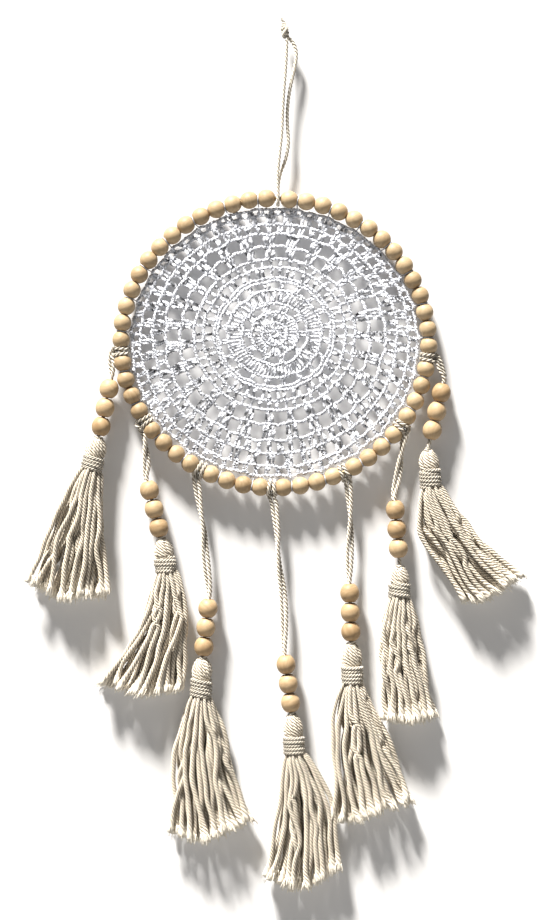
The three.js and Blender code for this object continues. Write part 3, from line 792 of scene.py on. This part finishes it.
# Each round, from the middle out: the radius of its top, how many times its pattern repeats,
# the turn of its first hole in degrees, how far its top bulges over each hole, how many plies
# each stitch shows, and the places of the stitches' feet and tops in one repeat. Metres.
lace_rounds = [
    (0.0021, 0, 0, 0.0, 2, []),
    (0.0080, 12, 0, 0.0, 2, [(0.38, 0.26), (0.62, 0.74)]),
    (0.0151, 10, 19, 0.0002, 2, [(0.22, 0.16), (0.42, 0.38), (0.58, 0.62), (0.78, 0.84)]),
    (0.0213, 10, 1, 0.0004, 2, [(0.33, 0.37), (0.50, 0.50), (0.67, 0.63)]),
    (0.0306, 72, 2, 0.0, 2, [(0.50, 0.50)]),
    (0.0368, 20, -1, 0.0004, 2, [(0.41, 0.43), (0.59, 0.57)]),
    (0.0391, 0, 0, 0.0, 2, []),
    (0.0465, 27, 7.5, 0.0002, 1, [(0.31, 0.32), (0.69, 0.68)]),
    (0.0526, 54, 0.8, 0.0001, 1, [(0.50, 0.50)]),
    (0.0617, 27, 3.5, 0.0007, 1, [(0.41, 0.33), (0.50, 0.50), (0.59, 0.67)]),
    (0.0718, 27, 3.5, 0.0006, 1, [(0.33, 0.30), (0.44, 0.43), (0.56, 0.57), (0.67, 0.70)]),
    (0.0797, 68, 0, 0.0, 1, [(0.44, 0.29), (0.56, 0.71)]),
    (0.0876, 45, 2, 0.0003, 1, [(0.32, 0.32), (0.50, 0.50), (0.68, 0.68)]),
    (0.0928, 80, 1, 0.0002, 1, [(0.37, 0.37), (0.63, 0.63)]),
]

# The lace is tied at every other joint between two beads, and drawn out there to the wire.
tie_draw = 0.0010
tie_draw_width = 0.0028
tie_places = []
for start, count in zip(group_starts, ring_bead_groups):
    tie_places += [start + joint * ring_bead_length for joint in range(1, count, 2)]


def turn_of(point):
    """The turn of a point round the doily's middle, from the top, clockwise."""
    return math.atan2(
        (point[0] - hoop_middle[0]) / lace_half_width, (point[2] - hoop_middle[2]) / lace_half_height
    )


tie_turns = [turn_of(hoop_place(distance)[0]) for distance in tie_places]


def lace_point(radius, turn, lift):
    """A place on the stretched lace, from its radius, its turn from the top and its height."""
    share = radius / lace_radius
    uneven = sum(
        size * np.sin(count * turn + start + 2.1 * count * share)
        for count, start, size in lace_waves
    )
    wave = np.sin(3.1 * share + 0.9) * np.sin(turn * 2 + 4 * share) * 0.0005
    share = share + uneven * 0.00028 / lace_radius * np.minimum(1, 4 * share) * (share < 0.97)
    rise = lace_middle_rise * (1 - share ** 4)
    x = hoop_middle[0] + lace_half_width * share * np.sin(turn)
    z = hoop_middle[2] + rise + lace_half_height * share * np.cos(turn)
    return np.stack([x, wave - lift, z], axis=-1)


def round_radius(number, turn):
    """The radius of a round's top at a turn. The last round is drawn out at each of its ties."""
    radius, repeats, first, bulge, _, _ = lace_rounds[number]
    reach = radius + bulge * np.cos(repeats * (turn - math.radians(first)))
    for count, start, size in lace_waves:
        bumps = round(radius * 90 * count) + 3
        reach = reach + 0.00016 * size * np.sin(bumps * turn + start * (number + 1))
    if number == len(lace_rounds) - 1:
        for tie in tie_turns:
            off = np.abs((turn - tie + math.pi) % (2 * math.pi) - math.pi) * radius
            reach = reach + tie_draw * np.exp(-((off / tie_draw_width) ** 2))
    return reach


lace = Skein("doily")
for number, (radius, repeats, first, bulge, plies, posts) in enumerate(lace_rounds):
    stitches = max(2, round(2 * math.pi * radius / stitch_length))
    turn = np.linspace(0, 2 * math.pi, max(14, round(stitches * 5.2)))
    for strand in range(2):
        phase = stitches * turn + strand * math.pi
        reach = round_radius(number, turn) + 0.00052 * np.sin(phase)
        lift = 0.0006 * np.cos(phase)
        thick = chain_radius * (1 + 0.14 * np.sin(1.37 * phase))
        lace.yarn(lace_point(reach, turn, lift), thick, **thread_lay)
    post_radius = treble_radius if plies == 2 else wide_treble_radius
    for repeat in range(repeats):
        for foot, head in posts:
            step = 2 * math.pi / repeats
            middle = math.radians(first) + step * repeat
            low_turn, high_turn = (
                middle + step * end + lace_random.gauss(0, unevenness) / max(radius, 0.01)
                for end in (foot, head)
            )
            low = round_radius(number - 1, low_turn) - 0.0001
            high = round_radius(number, high_turn) + 0.0001
            t = np.linspace(0, 1, max(4, round((high - low) / post_step) + 1))
            twist = lace_random.uniform(0, 2 * math.pi)
            turns = (high - low) / post_twist
            lean = lace_random.gauss(0, 0.0004)
            for ply in range(plies):
                phase = twist - 2 * math.pi * (turns * t + ply / plies)
                spread = 0.00028 + 0.00075 * (2 * t - 1) ** 4
                reach = low + (high - low) * t
                aside = spread * np.cos(phase) + lean * np.sin(math.pi * t)
                turn = low_turn + (high_turn - low_turn) * t + aside / reach
                thick = post_radius * (1 + 0.2 * np.cos(6.3 * t + twist))
                post = lace_point(reach, turn, 0.9 * spread * np.sin(phase))
                lace.yarn(post, thick, **thread_lay)

# The finished lace is pressed, so its yarns lie flatter than they are wide.
lace.points = [places * (1.0, pressed_flat, 1.0) for places in lace.points]

# groove is a painted shade colour for the grooves between plies; it has no effect here, since these
# threads have no grooves.
doily_cotton = cotton_material(
    "doily_cotton", cotton=(0.86, 0.89, 0.97), groove=(0.64, 0.67, 0.76),
    open_end=(0.93, 0.94, 0.96), groove_shade_strength=0.4, groove_depth=0.0002, sheen=0.15,
)
doily = lace.piece("crocheted_doily", doily_cotton, "doily_cotton")
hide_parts("doily")


# Doily ties
# White thread ties the lace's last round to the wire, once round it at every other joint
# between two beads, and is knotted in front.
tie_thread = {"radius": 0.00042, "plies": 5, "per_ply": 1, "groove": 0.0, "turn": -0.0030}
tie_reach = 0.00305
ties = Skein("doily ties")
for distance, tie_turn in zip(tie_places, tie_turns):
    point, along, outward = hoop_place(distance)
    loop = [
        point + outward * tie_reach * math.cos(a) + front * tie_reach * math.sin(a)
        + along * 0.0002 * math.sin(2 * a) for a in np.linspace(-2.7, 2.7, 20)
    ]
    slip = along * ties.random.uniform(-0.0006, 0.0006)
    edge = lace_point(round_radius(len(lace_rounds) - 1, tie_turn), tie_turn, 0.0) + slip
    inside = edge - outward * 0.0012
    line = curve_through(
        [inside - front * 0.0008, edge - front * 0.0009, *loop,
         edge + front * 0.0009, inside + front * 0.0008], 0.0008
    )
    ties.yarn(line, **tie_thread)
    x, y, z = tight_coil(
        1.6, 0.0007, 0.0007, start=ties.random.uniform(0, 6), step=0.0004
    ).T[..., None]
    knot = edge + front * 0.0008 + x * along + y * outward + z * front
    ties.yarn(knot, **tie_thread)
doily_ties = ties.piece("doily_ties", doily_cotton, "doily_cotton")


# Tassels
# Each is a bundle of soft single-twist cotton strands, 3.6 mm thick, folded over the end of
# its cord. The fold makes the head, and the strands' cut ends have come open.
strand_radius = 0.00178
strand_turn = -0.0092
strand_step = 0.0014
strand_lay = {"plies": 4, "per_ply": 3, "groove": 0.3}
strands_in_head = 13
strands_in_skirt = 34
skirt_steps = 72
fan_turn = 2.39996
root_spread = 0.0043
wisps_on_strand = 8
wisp_radii = (0.00042, 0.0002)
binding_pitch = 0.0025

# groove is a painted shade colour for the grooves between each strand's plies.
tassel_cotton = cotton_material(
    "tassel_cotton", cotton=(0.94, 0.87, 0.74), groove=(0.28, 0.20, 0.12),
    open_end=(0.92, 0.86, 0.75), groove_shade_strength=0.85, groove_depth=0.0008, sheen=0.3,
)


def head_frame(hanger):
    """The top of a tassel's head, and the ways down, across and back through it."""
    lean = math.radians(hanger["lean"])
    head_down = np.array((math.sin(lean), 0.0, -math.cos(lean)))
    across = np.array((math.cos(lean), 0.0, math.sin(lean)))
    return head_top(hanger), head_down, across, np.array((0.0, 1.0, 0.0))


def tip_place(hanger, share):
    """A place on the line through the skirt's left, lowest and right ends."""
    left, lowest, right = (np.array(tip) for tip in hanger["tips"])
    bend = (lowest[0] - left[0]) / (right[0] - left[0])
    part = share / bend if share < bend else (share - bend) / (1 - bend)
    start, end = (left, lowest) if share < bend else (lowest, right)
    x, z = start + (end - start) * part
    return np.array((x, 0.0, z))


def relaxed(lines, radii, across, rounds=26, half_depth=0.0068):
    """Strands pushed apart wherever two would share a place, and smoothed again each time."""
    lines = lines.copy()
    fixed = np.clip(np.linspace(-0.06, 1.2, lines.shape[1]) * 8, 0, 1)[None, :, None]
    for _ in range(rounds):
        apart_u = (lines[:, None] - lines[None]) @ across
        apart_y = lines[:, None, :, 1] - lines[None, :, :, 1]
        distance = np.sqrt(apart_u ** 2 + apart_y ** 2) + 1e-9
        wanted = (radii[:, None] + radii[None]) * 0.90
        push = np.clip(wanted - distance, 0, None) / distance * 0.5
        push[distance < 1e-8] = 0
        move_u = (apart_u * push).sum(1) * 0.5
        move_y = (apart_y * push).sum(1) * 0.5
        lines += fixed * (move_u[..., None] * across)
        lines[..., 1] += fixed[..., 0] * move_y
        lines[..., 1] = np.clip(lines[..., 1], -half_depth, half_depth)
        middle = (lines[:, :-2] + lines[:, 2:]) / 2
        lines[:, 1:-1] += (middle - lines[:, 1:-1]) * 0.5
    return lines


for hanger in hangers:
    name = hanger["name"]
    skein = Skein("tassel " + name)
    rnd = skein.random
    top, head_down, across, depth = head_frame(hanger)
    dome = hanger["dome"]
    neck_end = dome + hanger["turns"] * binding_pitch + 0.0007

    # Each strand of the head, as how far out it is at each depth under the top.
    profile = [
        (0.0006, 0.0016), (0.0021, 0.0022), (0.0034, 0.0042), (0.0044, 0.0068),
        (0.0050, 0.0094), (0.0047, dome - 0.0002), (0.0038, dome + 0.0024),
        (0.0035, dome + 0.0060),
    ]
    for number in range(strands_in_head):
        angle = number * 2 * math.pi / strands_in_head + rnd.uniform(-0.12, 0.12)
        out = across * math.cos(angle) + depth * math.sin(angle)
        slant = np.cross(head_down, out)
        drift = rnd.uniform(-0.0005, 0.0005)
        swell = rnd.uniform(0.9, 1.1)
        line = curve_through(
            [top + out * reach * swell + head_down * fall
             + slant * (0.0016 * math.sin(3 * fall / dome) + drift)
             for reach, fall in profile], strand_step * 0.75
        )
        skein.yarn(line, strand_radius, turn=strand_turn, start_turn=angle * 3, **strand_lay)

    # The skirt's strands leave the neck in a spiral, and end in that order from left to right.
    roots = []
    for number in range(strands_in_skirt):
        ring = math.sqrt((number + 0.5) / strands_in_skirt)
        angle = number * fan_turn + 0.7
        roots.append((ring * math.cos(angle), ring * math.sin(angle)))
    tips = []
    for rank, number in enumerate(sorted(range(strands_in_skirt), key=lambda i: roots[i][0])):
        aside, back = roots[number]
        share = (rank + 0.5) / strands_in_skirt + rnd.uniform(-0.03, 0.03)
        tip = tip_place(hanger, min(max(share, 0.01), 0.99))
        tip[1] = back * 0.0062 + rnd.uniform(-0.0015, 0.0015)
        tips.append((number, aside, back, tip))
    shares = np.linspace(0, 1, skirt_steps)
    t = shares[:, None]
    lines = np.empty((strands_in_skirt, skirt_steps, 3))
    radii = np.empty((strands_in_skirt, skirt_steps))
    for number, aside, back, tip in tips:
        root = (
            top + head_down * (neck_end - 0.0040) + across * aside * root_spread
            + depth * back * root_spread
        )
        length = np.linalg.norm(tip - root)
        bow = (
            root + head_down * length * rnd.uniform(0.34, 0.46)
            + across * (aside * 0.0085 + rnd.uniform(-0.002, 0.002)) + depth * back * 0.003
        )
        line = root * (1 - t) ** 2 + 2 * bow * t * (1 - t) + tip * t ** 2
        for waves, size in ((1.2, 0.0032), (2.6, 0.0017), (4.8, 0.0008)):
            start = rnd.uniform(0, 2 * math.pi)
            swing = size * rnd.uniform(-1, 1) * np.minimum(1, 2.2 * shares) * (
                np.sin(start + shares * waves * 2 * math.pi) - math.sin(start)
            )
            line = line + swing[:, None] * across
            line[:, 1] += 0.5 * size * rnd.uniform(-1, 1) * np.minimum(1, 2 * shares) * np.sin(
                start * 2 + shares * waves * 7
            )
        swell = 0.0026 * np.clip(shares / 0.08, 0, 1)
        sway = np.interp((aside + 1) / 2, [0, 1], hanger.get("sway", (0.0, 0.0)))
        sway = sway * np.sin(math.pi * shares ** 1.3)
        lines[number] = line + np.outer(swell * aside + sway, across) + np.outer(
            swell * back, depth
        )
        radii[number] = strand_radius * rnd.uniform(0.92, 1.06) * np.interp(
            shares, [0, 0.035, 0.09, 0.3, 1], [0.52, 0.56, 0.78, 1.0, 1.0]
        )
    lines = relaxed(lines, radii, across)
    for number, (line, radius) in enumerate(zip(lines, radii)):
        line = curve_through(line[::3], strand_step)
        share = np.linspace(0, 1, len(line))
        from_tip = (1 - share) * length_of(line)
        opened = np.clip(1 - from_tip / rnd.uniform(0.009, 0.016), 0, 1) ** 1.2
        thick = np.interp(share, shares, radius)
        thick = thick * (1 + 0.50 * opened) * np.clip(0.62 + from_tip / 0.006, 0, 1)
        thick = thick * (1 + 0.03 * np.sin(share * 23 + number))
        skein.yarn(
            line, thick, turn=strand_turn * rnd.uniform(0.9, 1.1), opened=opened,
            start_turn=number, **strand_lay,
        )
        ahead = unit(line[-1] - line[-4])
        for _ in range(wisps_on_strand):
            spot = across * rnd.uniform(-1, 1) + depth * rnd.uniform(-1, 1)
            start = line[-5] + spot * 0.0018
            end = line[-1] + spot * 0.0030 + ahead * rnd.uniform(-0.0010, 0.0026)
            wisp = curve_through([start, (start + end) / 2 + spot * 0.0004, end], 0.0016)
            skein.yarn(
                wisp, np.linspace(*wisp_radii, len(wisp)), plies=4, per_ply=1, groove=0.0,
                turn=0.02, opened=1.0,
            )
    tassel = skein.piece("tassel_strands_" + name, tassel_cotton, "tassel_cotton")
    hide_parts("tassel_" + name)


# Tie knots
# Under its last bead each hanging cord is tied in one tight knot, which sits in the fold of
# the tassel's head and keeps the tassel on the cord.
tie_turns_round = 1.85
tie_coil_radius = 0.00205
tie_coil_pitch = 0.0023
tie_cord_radius = 0.00132
tie_over_radius = 0.00125

# The way of the last turn over the knot: across, back and down in the head.
over = np.array([
    (-0.0014, -0.0012, 0.0004), (-0.0010, -0.0030, 0.0016), (0.0004, -0.0034, 0.0028),
    (0.0018, -0.0026, 0.0042), (0.0016, -0.0010, 0.0052),
])
for hanger in hangers:
    skein = Skein("tie knot " + hanger["name"])
    top, head_down, across, depth = head_frame(hanger)
    place = top - 0.0002 * head_down
    in_head = np.array([across, depth, head_down])
    start = skein.random.uniform(3.6, 4.4)
    coil = tight_coil(tie_turns_round, tie_coil_radius, tie_coil_pitch, start)
    coil[:, 2] += 0.0005 * np.sin(np.linspace(0, 11, len(coil)))
    skein.yarn(place + coil @ in_head, tie_cord_radius, **cord_lay)
    skein.yarn(curve_through(place + over @ in_head, 0.0006), tie_over_radius, **cord_lay)
    skein.piece("tie_knot_" + hanger["name"], cord_cotton, "cord_cotton")


# Neck bindings
# A softer, thinner cord of the same cotton goes four or five times round each tassel's neck,
# drawn tight, its ends tucked under.
binding_cord_radius = 0.00142
binding_inner_reach = 0.0047
binding_outer_reach = 0.0061
for hanger in hangers:
    name = hanger["name"]
    skein = Skein("binding " + name)
    rnd = skein.random
    top, head_down, across, depth = head_frame(hanger)
    turns = hanger["turns"] + 0.1
    angle = np.linspace(0, 2 * math.pi * turns, round(turns * 48))
    ease = np.minimum(1, np.minimum(angle, angle[-1] - angle) / 0.9)
    reach = binding_inner_reach + (binding_outer_reach - binding_inner_reach) * ease
    reach = reach + 0.0002 * np.sin(angle * 0.37 + rnd.uniform(0, 6))
    fall = hanger["dome"] + 0.0012 + binding_pitch * (turns - 0.45) * angle / angle[-1]
    fall = fall + 0.0004 * np.sin(angle + rnd.uniform(-0.5, 0.5))
    angle = angle + rnd.uniform(0, 2 * math.pi)
    line = (
        top + (reach * np.cos(angle))[:, None] * across
        + (reach * np.sin(angle))[:, None] * depth + fall[:, None] * head_down
    )
    skein.yarn(
        evenly(line, cord_step), binding_cord_radius, plies=4, per_ply=3, groove=0.34,
        turn=-0.0075,
    )
    binding = skein.piece("binding_cord_" + name, cord_cotton, "cord_cotton")
    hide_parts("binding_" + name)


# Stage and lights
# A pale wall, clear from behind, stands just behind the piece and a pale floor lies below it.
# The main light comes from high on the left in front, and a weaker one from behind.
wall_y = 0.0092
floor_z = -0.72
wall_white = (0.84, 0.84, 0.85)
floor_grey = (0.19, 0.19, 0.19)


def stage_plane(name, corners, colour, see_through_back=False):
    """A flat, matt plane of the stage."""
    mesh = bpy.data.meshes.new(name)
    mesh.from_pydata(corners, [], [(0, 1, 2, 3)])
    plane = add_object(name, mesh)
    material, tree, shader = new_material(
        name, {"Base Color": (*colour, 1), "Roughness": 0.9, "Specular IOR Level": 0.1}
    )
    if see_through_back:
        side = add_node(tree, "NewGeometry")
        clear = add_node(tree, "BsdfTransparent")
        mix = add_node(tree, "MixShader", {
            "Fac": side.outputs["Backfacing"], 1: shader.outputs["BSDF"],
            2: clear.outputs["BSDF"],
        })
        set_inputs(tree, tree.nodes["Material Output"], {"Surface": mix.outputs["Shader"]})
    mesh.materials.append(material)
    plane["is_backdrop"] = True
    return plane


wall = stage_plane(
    "wall", [(-1.6, wall_y, floor_z), (1.6, wall_y, floor_z), (1.6, wall_y, 0.9),
             (-1.6, wall_y, 0.9)], wall_white, see_through_back=True,
)
wall.visible_diffuse = False
wall.visible_shadow = False
stage_plane(
    "floor", [(-3, -3, floor_z), (3, -3, floor_z), (3, 3, floor_z), (-3, 3, floor_z)],
    floor_grey,
)

world = bpy.data.worlds.new("studio")
bpy.context.scene.world = world
world.use_nodes = True
studio = world.node_tree
soft_light = studio.nodes["Background"]
set_inputs(studio, soft_light, {"Color": (0.94, 0.96, 1.0, 1), "Strength": 0.095})
backdrop = add_node(
    studio, "Background",
    {"Color": (0.93, 0.94, 0.95, 1), "Strength": 0.75},
)
seen = add_node(studio, "LightPath")
either = add_node(studio, "MixShader", {
    "Fac": seen.outputs["Is Camera Ray"], 1: soft_light.outputs["Background"],
    2: backdrop.outputs["Background"],
})
set_inputs(studio, studio.nodes["World Output"], {"Surface": either.outputs["Shader"]})
bpy.context.scene.view_settings.view_transform = "Standard"


def add_light(name, kind, energy, place, aim, **settings):
    """A lamp at a place, aimed at another."""
    data = bpy.data.lights.new(name, kind)
    data.energy = energy
    for setting, value in settings.items():
        setattr(data, setting, value)
    light = add_object(name, data)
    light.location = place
    light.rotation_euler = (Vector(aim) - Vector(place)).to_track_quat("-Z", "Y").to_euler()


add_light(
    "key", "SUN", 11.5, (-0.30, -0.37, 1.0), (0, 0, 0), angle=math.radians(10),
    color=(1.0, 0.965, 0.91),
)
add_light("back_fill", "AREA", 7.0, (0.5, 1.2, 0.4), (0, 0, -0.28), size=1.2)

# Sizes
# The box round the plain solids and the box round the finished piece.
size = {"cad": cad_box, "visual": [list(corner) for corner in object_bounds()]}
